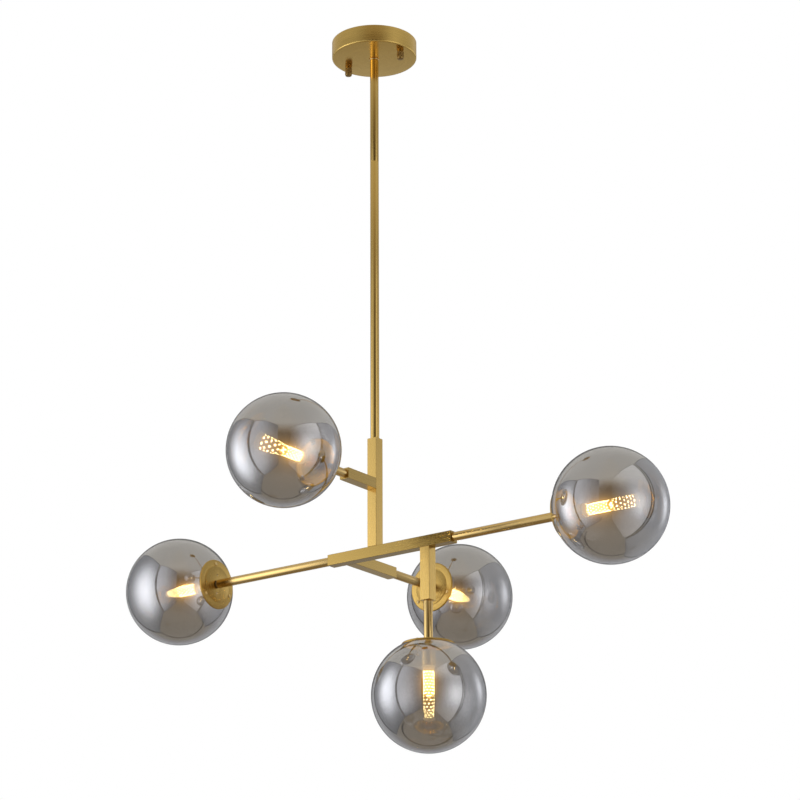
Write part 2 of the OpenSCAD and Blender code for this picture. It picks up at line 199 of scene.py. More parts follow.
def weighted(ob):
    m = ob.modifiers.new("even_normals", "WEIGHTED_NORMAL")
    m.keep_sharp = True
    m.weight = 80
    return ob


def cut(ob, cutters):
    """Cuts closed meshes out of ob and applies it."""
    for c in cutters:
        m = ob.modifiers.new("cut", "BOOLEAN")
        m.operation, m.object, m.solver = "DIFFERENCE", c, "EXACT"
    dg = bpy.context.evaluated_depsgraph_get()
    me = bpy.data.meshes.new_from_object(ob.evaluated_get(dg))
    ob.modifiers.clear()
    ob.data = me
    me.shade_smooth()
    me.set_sharp_from_angle(angle=math.radians(32))
    for c in cutters:
        bpy.data.objects.remove(c)
    return ob


# ------------------------------------------------------------------ materials
class Mat:
    """A Principled material with helpers for procedural detail."""

    def __init__(self, name, color, metallic=0.0, rough=0.5):
        self.m = bpy.data.materials.new(name)
        self.m.use_nodes = True
        self.nt = self.m.node_tree
        self.p = self.nt.nodes["Principled BSDF"]
        self.p.inputs["Base Color"].default_value = (*color, 1)
        self.p.inputs["Metallic"].default_value = metallic
        self.p.inputs["Roughness"].default_value = rough
        self.color = color
        self.rough = rough

    def node(self, kind, **props):
        n = self.nt.nodes.new(kind)
        for k, v in props.items():
            setattr(n, k, v)
        return n

    def link(self, a, b):
        self.nt.links.new(a, b)

    def math(self, op, a, b=None, c=None):
        n = self.node("ShaderNodeMath", operation=op)
        for i, x in enumerate((a, b, c)):
            if x is None:
                continue
            if isinstance(x, (int, float)):
                n.inputs[i].default_value = x
            else:
                self.link(x, n.inputs[i])
        return n.outputs[0]

    def coords(self, scale=(1, 1, 1)):
        t = self.node("ShaderNodeTexCoord")
        mp = self.node("ShaderNodeMapping")
        mp.inputs["Scale"].default_value = scale
        self.link(t.outputs["Object"], mp.inputs["Vector"])
        return mp.outputs["Vector"]

    def polar(self, fr, fa, fz):
        """Object coordinates as (radius, angle, height), each times its frequency. The angle goes in as a point on a circle, so that it has no seam."""
        t = self.node("ShaderNodeTexCoord")
        s = self.node("ShaderNodeSeparateXYZ")
        self.link(t.outputs["Object"], s.inputs[0])
        x, y, z = s.outputs
        r = self.math("SQRT", self.math("ADD", self.math("MULTIPLY", x, x), self.math("MULTIPLY", y, y)))
        rs = self.math("MAXIMUM", r, 1e-5)
        c = self.node("ShaderNodeCombineXYZ")
        self.link(self.math("MULTIPLY", self.math("DIVIDE", x, rs), fa), c.inputs[0])
        self.link(self.math("MULTIPLY", self.math("DIVIDE", y, rs), fa), c.inputs[1])
        self.link(self.math("ADD", self.math("MULTIPLY", r, fr), self.math("MULTIPLY", z, fz)), c.inputs[2])
        return c.outputs[0]

    def noise(self, vec, scale=1.0, detail=3.0, rough=0.55):
        n = self.node("ShaderNodeTexNoise")
        n.inputs["Scale"].default_value = scale
        n.inputs["Detail"].default_value = detail
        n.inputs["Roughness"].default_value = rough
        self.link(vec, n.inputs["Vector"])
        return n.outputs["Fac"]

    def remap(self, fac, lo, hi, a=0.3, b=0.7):
        n = self.node("ShaderNodeMapRange")
        n.inputs["From Min"].default_value = a
        n.inputs["From Max"].default_value = b
        n.inputs["To Min"].default_value = lo
        n.inputs["To Max"].default_value = hi
        self.link(fac, n.inputs["Value"])
        return n.outputs["Result"]

    def mix(self, fac, c1, c2):
        n = self.node("ShaderNodeMix", data_type="RGBA")
        self.link(fac, n.inputs["Factor"])
        for sock, c in ((n.inputs[6], c1), (n.inputs[7], c2)):
            if isinstance(c, tuple):
                sock.default_value = (*c, 1)
            else:
                self.link(c, sock)
        return n.outputs[2]

    def bump(self, fac, strength, distance=0.0002):
        n = self.node("ShaderNodeBump")
        n.inputs["Strength"].default_value = strength
        n.inputs["Distance"].default_value = distance
        self.link(fac, n.inputs["Height"])
        self.link(n.outputs["Normal"], self.p.inputs["Normal"])

    def to(self, out, socket):
        self.link(out, self.p.inputs[socket])


def shade(c, k):
    return tuple(min(1.0, x * k) for x in c)


def brushed(name, color, rough, vec_kind, freq, aniso=0.6, spread=0.07, bump=0.12, tangent="Z", var=0.10, face=None):
    """Satin metal with brushing lines. vec_kind: 'x', 'y' or 'z' for lines along that axis, or 'polar' for lines around Z."""
    m = Mat(name, color, 1.0, rough)
    if vec_kind == "polar":
        fine, coarse = m.polar(freq, 1.3, freq), m.polar(freq * 0.12, 2.6, freq * 0.12)
    else:
        i = "xyz".index(vec_kind)
        s = [freq] * 3
        s[i] = freq * 0.012
        fine = m.coords(tuple(s))
        s2 = [freq * 0.1] * 3
        s2[i] = freq * 0.006
        coarse = m.coords(tuple(s2))
    f = m.noise(fine, 1.0, 4.0, 0.6)
    g = m.noise(coarse, 1.0, 3.0, 0.5)
    both = m.math("ADD", m.math("MULTIPLY", f, 0.6), m.math("MULTIPLY", g, 0.4))
    satin = m.remap(both, rough - spread, rough + spread, 0.36, 0.64)
    m.p.inputs["Anisotropic"].default_value = aniso
    if face:
        # one face is more polished: (height where it ends, height where it begins, its roughness, strength of the
        # painted bulb light on it)
        z_off, z_on, smooth, lit = face
        t = m.node("ShaderNodeTexCoord")
        s = m.node("ShaderNodeSeparateXYZ")
        m.link(t.outputs["Object"], s.inputs[0])
        x, y, z = s.outputs
        k = m.remap(z, 0.0, 1.0, z_off, z_on)
        rest = m.math("SUBTRACT", 1.0, k)
        satin = m.math("ADD", m.math("MULTIPLY", satin, rest), m.math("MULTIPLY", k, smooth))
        if lit:
            # painted light: an emission stands for the bulb's light falling on this face, most towards the rim
            r = m.math("SQRT", m.math("ADD", m.math("MULTIPLY", x, x), m.math("MULTIPLY", y, y)))
            rim = m.math("MULTIPLY", m.remap(r, 0.0, lit, 0.015, 0.031), m.remap(r, 1.0, 0.0, 0.0324, 0.0330))
            m.p.inputs["Emission Color"].default_value = (1.0, 0.50, 0.09, 1)
            m.to(m.math("MULTIPLY", k, m.math("MULTIPLY", rim, m.remap(both, 0.6, 1.2, 0.40, 0.60))), "Emission Strength")
    m.to(satin, "Roughness")
    m.to(m.mix(m.remap(both, 0, 1, 0.34, 0.66), shade(color, 1 - var), shade(color, 1 + var * 0.6)), "Base Color")
    if aniso:
        t = m.node("ShaderNodeTangent", direction_type="RADIAL", axis=tangent)
        m.link(t.outputs[0], m.p.inputs["Tangent"])
    m.bump(f, bump, 0.00004)
    return m.m


def plated(name, color, rough, scale=220.0):
    """Zinc or galvanised steel: cloudy, with fine spangle."""
    m = Mat(name, color, 1.0, rough)
    a = m.noise(m.coords((scale,) * 3), 1.0, 4.0)
    b = m.noise(m.coords((scale * 6,) * 3), 1.0, 2.0)
    m.to(m.remap(a, rough - 0.08, rough + 0.12), "Roughness")
    m.to(m.mix(m.remap(a, 0, 1), shade(color, 0.86), shade(color, 1.06)), "Base Color")
    m.bump(b, 0.10, 0.00005)
    return m.m


def matte(name, color, rough, scale=300.0, var=0.06, bump=0.12, spec=0.5, coat=0.0, sss=0.0):
    m = Mat(name, color, 0.0, rough)
    a = m.noise(m.coords((scale,) * 3), 1.0, 4.0)
    b = m.noise(m.coords((scale * 9,) * 3), 1.0, 2.0)
    m.to(m.remap(a, rough - 0.06, rough + 0.06), "Roughness")
    m.to(m.mix(m.remap(a, 0, 1), shade(color, 1 - var), shade(color, 1 + var)), "Base Color")
    m.p.inputs["Specular IOR Level"].default_value = spec
    m.p.inputs["Coat Weight"].default_value = coat
    if sss:
        m.p.inputs["Subsurface Weight"].default_value = sss
        m.p.inputs["Subsurface Scale"].default_value = 0.004
    m.bump(b, bump, 0.00005)
    return m.m


GOLD = (0.76, 0.50, 0.145)
BRASS_ROD = brushed("rod_brass", GOLD, 0.20, "z", 2600, 0.35, 0.05, 0.06)
BRASS_ARM = brushed("arm_brass", (0.72, 0.49, 0.18), 0.20, "z", 2600, 0.30, 0.04, 0.05)
BRASS_BAR_Z = brushed("bar_brass_z", GOLD, 0.27, "z", 3200, 0.5, 0.06, 0.14, "Z")
# painted shade: the crossbar's and the square arms' brass is a darker copy of the post's brass, standing for how light
# falls on them
BRASS_BAR_X_PAINTED_SHADE = brushed("bar_brass_x", (0.42, 0.275, 0.075), 0.26, "x", 3200, 0.6, 0.06, 0.14, "X")
BRASS_BAR_Y_PAINTED_SHADE = brushed("bar_brass_y", (0.55, 0.37, 0.115), 0.28, "y", 3200, 0.6, 0.06, 0.14, "Y")
# painted shade: the discs' brass is darker than the post's, standing for the dark it mirrors; their inner face also has
# painted bulb light
BRASS_DISC_PAINTED_SHADE_AND_GLOW = brushed("disc_brass", (0.52, 0.335, 0.09), 0.23, "polar", 3600, 0.8, 0.06, 0.24, face=(-0.0683, -0.0682, 0.26, 0.48))
BRASS_CANOPY = brushed("canopy_brass", (0.88, 0.585, 0.165), 0.27, "polar", 2600, 0.7, 0.06, 0.14, face=(-0.0247, -0.0249, 0.15, 0.0))
BRASS_POLISHED = brushed("polished_brass", (0.80, 0.58, 0.25), 0.12, "polar", 1800, 0.3, 0.04, 0.04)
BRASS_KNURL = plated("knurled_brass", (0.40, 0.25, 0.08), 0.28, 400)
ZINC = plated("zinc_steel", (0.62, 0.63, 0.65), 0.32)
GALV = plated("galvanised_steel", (0.55, 0.56, 0.58), 0.42, 90)
SPRING = plated("spring_steel", (0.50, 0.50, 0.51), 0.24, 300)
THREAD = plated("dark_thread", (0.10, 0.085, 0.07), 0.42, 500)
GREEN = matte("green_screw", (0.02, 0.20, 0.05), 0.35)


def lampholder_look():
    """A glazed body whose round side is a thin brass sleeve, with painted bulb light, an emission, near its mouth."""
    m = Mat("lampholder_ceramic", (0.74, 0.66, 0.52), 0.0, 0.22)
    t = m.node("ShaderNodeTexCoord")
    s = m.node("ShaderNodeSeparateXYZ")
    m.link(t.outputs["Object"], s.inputs[0])
    x, y, z = s.outputs
    r = m.math("SQRT", m.math("ADD", m.math("MULTIPLY", x, x), m.math("MULTIPLY", y, y)))
    sleeve = m.remap(r, 0.0, 1.0, 0.00895, 0.00905)
    a = m.noise(m.coords((260, 260, 260)), 1.0, 4.0)
    clay = m.mix(m.remap(a, 0, 1), (0.70, 0.62, 0.48), (0.76, 0.68, 0.54))
    m.to(m.mix(sleeve, clay, (0.90, 0.62, 0.26)), "Base Color")
    m.to(sleeve, "Metallic")
    m.to(m.remap(a, 0.09, 0.15), "Roughness")
    # painted light: this emission near the mouth stands for the bulb's light falling on the body
    lit = m.remap(z, 0.0, 0.12, -0.0386, -0.0380)
    m.p.inputs["Emission Color"].default_value = (1.0, 0.72, 0.36, 1)
    m.to(lit, "Emission Strength")
    m.bump(m.noise(m.coords((2400, 2400, 2400)), 1.0, 2.0), 0.04, 0.00004)
    return m.m


CERAMIC = lampholder_look()
CABLE = matte("cable", (0.75, 0.73, 0.67), 0.5)
ORANGE = matte("connector", (0.80, 0.26, 0.03), 0.42)


def glass_smoked():
    m = Mat("smoked_glass", (0.80, 0.79, 0.775), 0.285, 0.0)
    m.p.inputs["Transmission Weight"].default_value = 1.0
    m.p.inputs["IOR"].default_value = 1.50
    # a trace of unevenness in the blown glass
    a = m.noise(m.coords((14, 14, 14)), 1.0, 2.0)
    m.to(m.mix(m.remap(a, 0, 1), (0.80, 0.79, 0.775), (0.82, 0.81, 0.80)), "Base Color")
    b = m.noise(m.coords((30, 30, 30)), 1.0, 1.0)
    m.bump(b, 0.05, 0.0006)
    return m.m


def glass_cover():
    m = Mat("bulb_cover", (1.0, 0.97, 0.90), 0.0, 0.04)
    m.p.inputs["Transmission Weight"].default_value = 1.0
    m.p.inputs["IOR"].default_value = 1.20
    a = m.noise(m.coords((160, 160, 60)), 1.0, 2.0)
    m.to(m.remap(a, 0.0, 0.03), "Roughness")
    # the cover is a little amber, which shows along its edges
    soak = m.node("ShaderNodeVolumeAbsorption")
    soak.inputs["Color"].default_value = (0.97, 0.70, 0.36, 1)
    soak.inputs["Density"].default_value = 380.0
    m.link(soak.outputs[0], m.nt.nodes["Material Output"].inputs["Volume"])
    return m.m


def glow(name, color, strength, base):
    m = Mat(name, base, 0.0, 0.5)
    a = m.noise(m.coords((420, 420, 420)), 1.0, 2.0)
    m.to(m.mix(m.remap(a, 0, 1), color, shade(color, 1.12)), "Emission Color")
    m.p.inputs["Emission Strength"].default_value = strength
    return m.m


GLASS = glass_smoked()
# painted light: the pin base glows a little, standing for the chips' light falling on it
BULB_BASE_PAINTED_GLOW = glow("bulb_base", (1.0, 0.62, 0.24), 0.5, (0.30, 0.26, 0.20))
COVER = glass_cover()
CHIP = glow("led_chip", (1.0, 0.82, 0.42), 26.0, (0.35, 0.22, 0.08))
# painted light: the core glows between the chips, standing for their light falling on it
LED_CORE_PAINTED_GLOW = glow("led_core", (1.0, 0.46, 0.07), 0.55, (0.24, 0.12, 0.03))

# -------------------------------------------------------------- ceiling mount
f = 2.2
prof = [(5.05, -CANOPY_H)]
prof += arc(CANOPY_R - f, -CANOPY_H + f, f, -90, 0, 8)
prof += [(CANOPY_R, -0.35), (CANOPY_R - 0.35, 0.0), (CANOPY_R - CANOPY_T + 0.3, 0.0), (CANOPY_R - CANOPY_T, -0.3)]
prof += arc(CANOPY_R - f, -CANOPY_H + f, f - CANOPY_T, 0, -90, 6)
prof += [(5.05, -CANOPY_H + CANOPY_T)]
canopy = make("canopy_shell", *lathe(prof, 256), BRASS_CANOPY)
holes = []
for x in (-STUD_X, STUD_X):
    bpy.ops.mesh.primitive_cylinder_add(vertices=48, radius=2.3 * MM, depth=8 * MM, location=(x * MM, 0, -CANOPY_H * MM))
    holes.append(bpy.context.object)
cut(canopy, holes)
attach(canopy, "ceiling_mount")
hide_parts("canopy")


def knurled(seg=240, rows=72):
    """A cap nut with a diamond knurl, a plain neck against the canopy and a rounded lower end, with its blind bore."""
    kr = KNOB_R
    verts, faces = [], []
    top, bot = -1.4, -KNOB_H + 1.5
    prof = [(2.06, -KNOB_H + 1.4, 0), (2.06, 0, 0), (kr - 0.75, 0, 0), (kr - 0.5, -0.25, 0), (kr - 0.5, -1.1, 0), (kr - 0.5, top, 0)]
    for i in range(rows + 1):
        z = top + (bot - top) * i / rows
        edge = min(1.0, i / 4.0, (rows - i) / 4.0)
        prof.append((kr - 0.42 * (1 - edge), z, edge))
    prof += [(kr - 0.45, bot - 0.1, 0), (kr - 0.42, bot - 0.45, 0), (kr - 0.62, bot - 0.95, 0), (kr - 1.15, bot - 1.32, 0), (kr - 1.9, -KNOB_H, 0), (0, -KNOB_H, 0)]
    prof.reverse()
    rings = []
    n = 30
    for r, z, e in prof:
        if r < 1e-6:
            rings.append([len(verts)])
            verts.append((0, 0, z))
            continue
        rings.append(list(range(len(verts), len(verts) + seg)))
        for k in range(seg):
            a = 2 * math.pi * k / seg
            rr = r
            if e > 0:
                u = (n * a / (2 * math.pi) + z / 1.05) % 1.0
                v = (n * a / (2 * math.pi) - z / 1.05) % 1.0
                groove = max(0.0, 1 - min(u, 1 - u) * 5.0, 1 - min(v, 1 - v) * 5.0)
                rr -= 0.30 * groove * e
            verts.append((rr * math.cos(a), rr * math.sin(a), z))
    # bore's closed end
    rings.append([len(verts)])
    verts.append((0, 0, -KNOB_H + 1.4))
    for i in range(len(rings) - 1):
        a, b = rings[i], rings[i + 1]
        for k in range(seg):
            j = (k + 1) % seg
            if len(a) == 1:
                faces.append((a[0], b[j], b[k]))
            elif len(b) == 1:
                faces.append((a[k], a[j], b[0]))
            else:
                faces.append((a[k], a[j], b[j], b[k]))
    return verts, faces


for side, x in (("left", -STUD_X), ("right", STUD_X)):
    make(f"{side}_knurled_cap_nut", *knurled(), BRASS_KNURL, Matrix.Translation((x * MM, 0, -CANOPY_H * MM)),
         f"{side}_knurled_nut", f"{side}_canopy_nut", "knurled_brass", sharp=60)

# ----------------------------------------------------------------------- stem
collar = [(5.02, -27.0), (5.9, -27.0)] + arc(6.1, -26.0, 1.0, -80, 80, 10) + [(5.9, -25.0), (5.02, -25.0)]
make("stem_bead", *lathe(collar, 96), BRASS_POLISHED, None, "lamp_frame", "stem_collar", "polished_brass", sharp=50)


def tube(length, c=0.6, n=4):
    """A round tube standing on z = 0 with rounded ends."""
    p = [(TAP_R, 0.2), (TAP_R + 0.2, 0)] + arc(ROD_R - c, c, c, -90, 0, n)
    p += arc(ROD_R - c, length - c, c, 0, 90, n) + [(TAP_R + 0.2, length), (TAP_R, length - 0.2)]
    return lathe(p, 96)


make("stem_rod_upper", *tube(157.0, 0.45), BRASS_ROD, Matrix.Translation((0, 0, JOINT_Z * MM)), "lamp_frame", "upper_rod", "rod_brass", sharp=50)
make("stem_rod_lower", *tube(408.0, 0.45), BRASS_ROD, Matrix.Translation((0, 0, POST_TOP * MM)), "lamp_frame", "lower_rod", "rod_brass", sharp=50)

# --------------------------------------------------------------- square frame
H = BAR_W / 2


def bar(name, lo, hi, mat, node, holes=()):
    ob = make(name, *rounded_bar(lo, hi), mat, sharp=40)
    cutters = []
    for at, axis, r, depth in holes:
        bpy.ops.mesh.primitive_cylinder_add(vertices=64, radius=r * MM, depth=depth * MM, location=Vector(at) * MM,
                                            rotation={"x": (0, math.pi / 2, 0), "y": (math.pi / 2, 0, 0), "z": (0, 0, 0)}[axis])
        cutters.append(bpy.context.object)
    if cutters:
        cut(ob, cutters)
    weighted(ob)
    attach(ob, "lamp_frame")
    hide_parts(node)
    return ob


bar("upright_post", (-H, -H, POST_TOP - POST_LEN), (H, H, POST_TOP), BRASS_BAR_Z, "post", [((0, 0, POST_TOP), "z", TAP_R, 26)])
bar("long_crossbar", (-75, -H, BAR_Z - H), (129, H, BAR_Z + H), BRASS_BAR_X_PAINTED_SHADE, "crossbar",
    [((-75, 0, BAR_Z), "x", TAP_R, 16), ((129, 0, BAR_Z), "x", TAP_R, 16)])
bar("upper_square_arm", (-H, -68.5, UPPER_Z - H), (H, -H, UPPER_Z + H), BRASS_BAR_Y_PAINTED_SHADE, "upper_arm_bar", [((0, -68.5, UPPER_Z), "y", TAP_R, 16)])
bar("rear_square_arm", (-46 - H, H, BAR_Z - H), (-46 + H, 101.0, BAR_Z + H), BRASS_BAR_Y_PAINTED_SHADE, "rear_arm_bar", [((-46, 101, BAR_Z), "y", TAP_R, 16)])
bar("square_drop", (86.5 - H, -H, DROP_END), (86.5 + H, H, BAR_Z - H), BRASS_BAR_Z, "drop_bar", [((86.5, 0, DROP_END), "z", TAP_R, 16)])

# ---------------------------------------------------------------- light units


def pipe(z0, z1):
    """A threaded lamp pipe between z0 and z1, closed with its bore."""
    v, fc = screw_thread(4.97, 0.5, 1.0, z0, z1)
    seg = 48
    n = len(v)
    rings = n // seg
    inner = [(BORE_R * math.cos(2 * math.pi * k / seg), BORE_R * math.sin(2 * math.pi * k / seg), z) for z in (z0, z1) for k in range(seg)]
    v = v + inner
    for k in range(seg):
        j = (k + 1) % seg
        fc.append((n + k, n + j, j, k))
        fc.append(((rings - 1) * seg + k, (rings - 1) * seg + j, n + seg + j, n + seg + k))
        fc.append((n + j, n + k, n + seg + k, n + seg + j))
    return v, fc


def hex_nut(flats, z0, z1, bore):
    """A hex nut with chamfered corners."""
    verts, faces = [], []
    seg = 96
    rc = flats / 2 / math.cos(math.radians(30))

    def rad(a):
        t = (math.degrees(a) + 30) % 60 - 30
        return flats / 2 / math.cos(math.radians(t))
    levels = [(z0, 0.96), (z0 + 0.35, 1.0), (z1 - 0.35, 1.0), (z1, 0.96)]
    for z, k0 in levels:
        for k in range(seg):
            a = 2 * math.pi * (k + 0.5) / seg
            r = min(rad(a), rc * k0 if k0 < 1 else rc)
            if k0 < 1:
                r = min(r, flats / 2 * 1.03)
            verts.append((r * math.cos(a), r * math.sin(a), z))
    for z in (z1, z0):
        for k in range(seg):
            a = 2 * math.pi * (k + 0.5) / seg
            verts.append((bore * math.cos(a), bore * math.sin(a), z))
    for i in range(5):
        for k in range(seg):
            j = (k + 1) % seg
            faces.append((i * seg + k, i * seg + j, (i + 1) * seg + j, (i + 1) * seg + k))
    for k in range(seg):
        j = (k + 1) % seg
        faces.append((5 * seg + k, 5 * seg + j, j, k))
    return verts, faces


def holder_profile():
    R, e = 35.0, 0.3
    return [(5.02, -S_BOSS + 0.15), (5.17, -S_BOSS), (25.5 - e, -S_BOSS)] + arc(25.5 - e, -S_BOSS + e, e, -90, 0, 3) + [(25.5, -S_RIM - 0.12), (25.62, -S_RIM)] + \
        arc(R - 1.4, -S_RIM + 1.4, 1.4, -90, 0, 8) + [(R, -66.85), (R - 0.12, -66.77), (R - 0.9, -67.2), (R - 1.7, -67.65), (R - 2.1, -S_BACK), (5.17, -S_BACK), (5.02, -S_BACK - 0.15)]


def screw_head():
    """A round head turned from its profile: local z = 0 is the disc's face, the head rises to -Z."""
    p = [(0, 0.2), (2.5, 0.2), (2.5, -0.05)] + [(2.5 * math.cos(math.radians(a)), -0.05 - 1.6 * math.sin(math.radians(a))) for a in range(10, 90, 10)] + [(0, -1.65)]
    p.reverse()
    return lathe(p, 32, closed=False)


def leaf_clip():
    """A bent spring strip with rounded bends, 7 mm wide, in the plane y = 0 at its middle."""
    mid = [(25.6, -67.7), (28.5, -67.7), (30.2, -67.6), (30.72, -67.1), (30.8, -66.2), (30.85, -65.2), (31.1, -63.9), (31.24, -62.7), (31.05, -61.6), (30.6, -60.5), (29.9, -59.4), (29.35, -58.75)]
    t, w = 0.28, 3.5
    outl = []
    for i, (x, z) in enumerate(mid):
        a, b = mid[max(0, i - 1)], mid[min(len(mid) - 1, i + 1)]
        d = Vector((b[0] - a[0], b[1] - a[1])).normalized()
        outl.append((x - d.y * t, z + d.x * t, x + d.y * t, z - d.x * t))
    verts, faces = [], []
    for x1, z1, x2, z2 in outl:
        verts += [(x1, -w, z1), (x1, w, z1), (x2, w, z2), (x2, -w, z2)]
    n = len(outl)
    for i in range(n - 1):
        a, b = 4 * i, 4 * (i + 1)
        for k in range(4):
            j = (k + 1) % 4
            faces.append((a + k, b + k, b + j, a + j))
    faces.append((0, 1, 2, 3))
    faces.append((4 * n - 1, 4 * n - 2, 4 * n - 3, 4 * n - 4))
    return verts, faces


def globe_profile():
    R, r = GLOBE_R, GLOBE_R - GLASS_T
    a_out = math.degrees(math.asin((MOUTH_R + 0.35) / R))
    a_in = math.degrees(math.asin((MOUTH_R + 0.30) / r))
    n = 110
    out = [(R * math.sin(math.radians(a_out + (180 - a_out) * i / n)), -R * math.cos(math.radians(a_out + (180 - a_out) * i / n))) for i in range(n + 1)]
    inn = [(r * math.sin(math.radians(180 - (180 - a_in) * i / n)), -r * math.cos(math.radians(180 - (180 - a_in) * i / n))) for i in range(n + 1)]
    z_out, z_in = out[0][1], inn[-1][1]
    lip = [(MOUTH_R + 0.06, z_in - 0.35), (MOUTH_R, (z_in + z_out) / 2), (MOUTH_R + 0.08, z_out + 0.30)]
    out[-1] = (0.0, R)
    inn[0] = (0.0, r)
    return out + inn + lip


def lampholder_part():
    r = SOCKET_R
    z0, z1 = -S_CLAY, -S_FACE
    p = [(0, z0 + 3.6), (6.2, z0 + 3.6), (6.2, z0 + 0.3), (6.5, z0), (r - 0.5, z0)] + arc(r - 0.5, z0 + 0.5, 0.5, -90, 0, 3)
    # a shallow groove round the body, where the front part sits in the back part
    p += [(r, z0 + 7.6), (r - 0.35, z0 + 7.8), (r - 0.35, z0 + 8.3), (r, z0 + 8.5)]
    p += arc(r - 0.7, z1 - 0.7, 0.7, 0, 90, 4) + [(7.4, z1), (7.2, z1 - 0.4), (6.9, z1 - 0.4), (6.7, z1), (0, z1)]
    return lathe(p, 96, closed=False)


def cover_part():
    z0, z1, r, t, fr = -S_COVER, -S_COVER + BULB_LEN, BULB_R, 0.7, 5.0
    out = [(r, z0)] + arc(r - fr, z1 - fr, fr, 0, 90, 14) + [(0, z1)]
    inn = [(0, z1 - t)] + arc(r - fr, z1 - fr, fr - t, 90, 0, 12) + [(r - t, z0)]
    return lathe(out + inn, 96)


CHIP_ROWS, CHIP_RING, CORE_R = 8, 10, 6.5


def core_part():
    z0, z1 = -S_COVER + 0.4, -S_COVER + BULB_LEN - 2.2
    p = [(0, z0), (CORE_R, z0), (CORE_R, z1 - 1.6)] + arc(CORE_R - 1.6, z1 - 1.6, 1.6, 0, 90, 4) + [(0, z1)]
    return lathe(p, 72, closed=False)


def chips_part():
    """Rows of small domed chips around the core, and five on its end."""
    parts = []
    z0 = -S_COVER + 1.6
    pitch = (BULB_LEN - 6.2) / (CHIP_ROWS - 1)
    dome = lathe([(0.85, 0), (0.85, 0.3), (0.75, 0.55), (0.42, 0.7), (0, 0.76)], 14, closed=False)
    for i in range(CHIP_ROWS):
        for k in range(CHIP_RING):
            a = 2 * math.pi * (k + 0.5 * (i % 2)) / CHIP_RING
            m = Matrix.Translation((CORE_R * math.cos(a), CORE_R * math.sin(a), z0 + i * pitch)) @ Matrix.Rotation(a, 4, "Z") @ Matrix.Rotation(math.pi / 2, 4, "Y")
            parts.append(moved(dome, m @ Matrix.Translation((0, 0, -0.15))))
    zt = -S_COVER + BULB_LEN - 2.2
    for k in range(5):
        a = 2 * math.pi * k / 4
        r = 0 if k == 4 else 3.0
        parts.append(moved(dome, Matrix.Translation((r * math.cos(a), r * math.sin(a), zt - 0.15))))
    return join(*parts)


def base_part():
    """The bulb's base with a small step, and its two looped pins."""
    r = BULB_R - 0.5
    z0, z1 = -S_FACE, -S_COVER
    body = lathe([(0, z0), (r - 0.3, z0), (r, z0 + 0.3), (r, z1 - 0.3), (r - 0.3, z1), (0, z1)], 72, closed=False)
    parts = [body]
    for e in (-1, 1):
        path = [(-1.2, 1.0)] + [(-1.2, -0.3 - 0.6 * i) for i in range(9)] + \
               [(1.2 * math.cos(math.radians(a)), -5.2 + 1.2 * math.sin(math.radians(a))) for a in range(200, 341, 20)] + \
               [(1.2, -5.1 + 0.6 * i) for i in range(9)] + [(1.2, 1.0)]
        verts, faces = [], []
        seg = 12
        for i, (y, z) in enumerate(path):
            a, b = path[max(0, i - 1)], path[min(len(path) - 1, i + 1)]
            d = Vector((0, b[0] - a[0], b[1] - a[1])).normalized()
            s = Vector((1, 0, 0))
            t = d.cross(s)
            for k in range(seg):
                q = 2 * math.pi * k / seg
                p = Vector((e * 4.5, y, z0 + z)) + (s * math.cos(q) + t * math.sin(q)) * 0.4
                verts.append(tuple(p))
        for i in range(len(path) - 1):
            for k in range(seg):
                j = (k + 1) % seg
                faces.append((i * seg + k, (i + 1) * seg + k, (i + 1) * seg + j, i * seg + j))
        parts.append((verts, faces))
    return join(*parts)


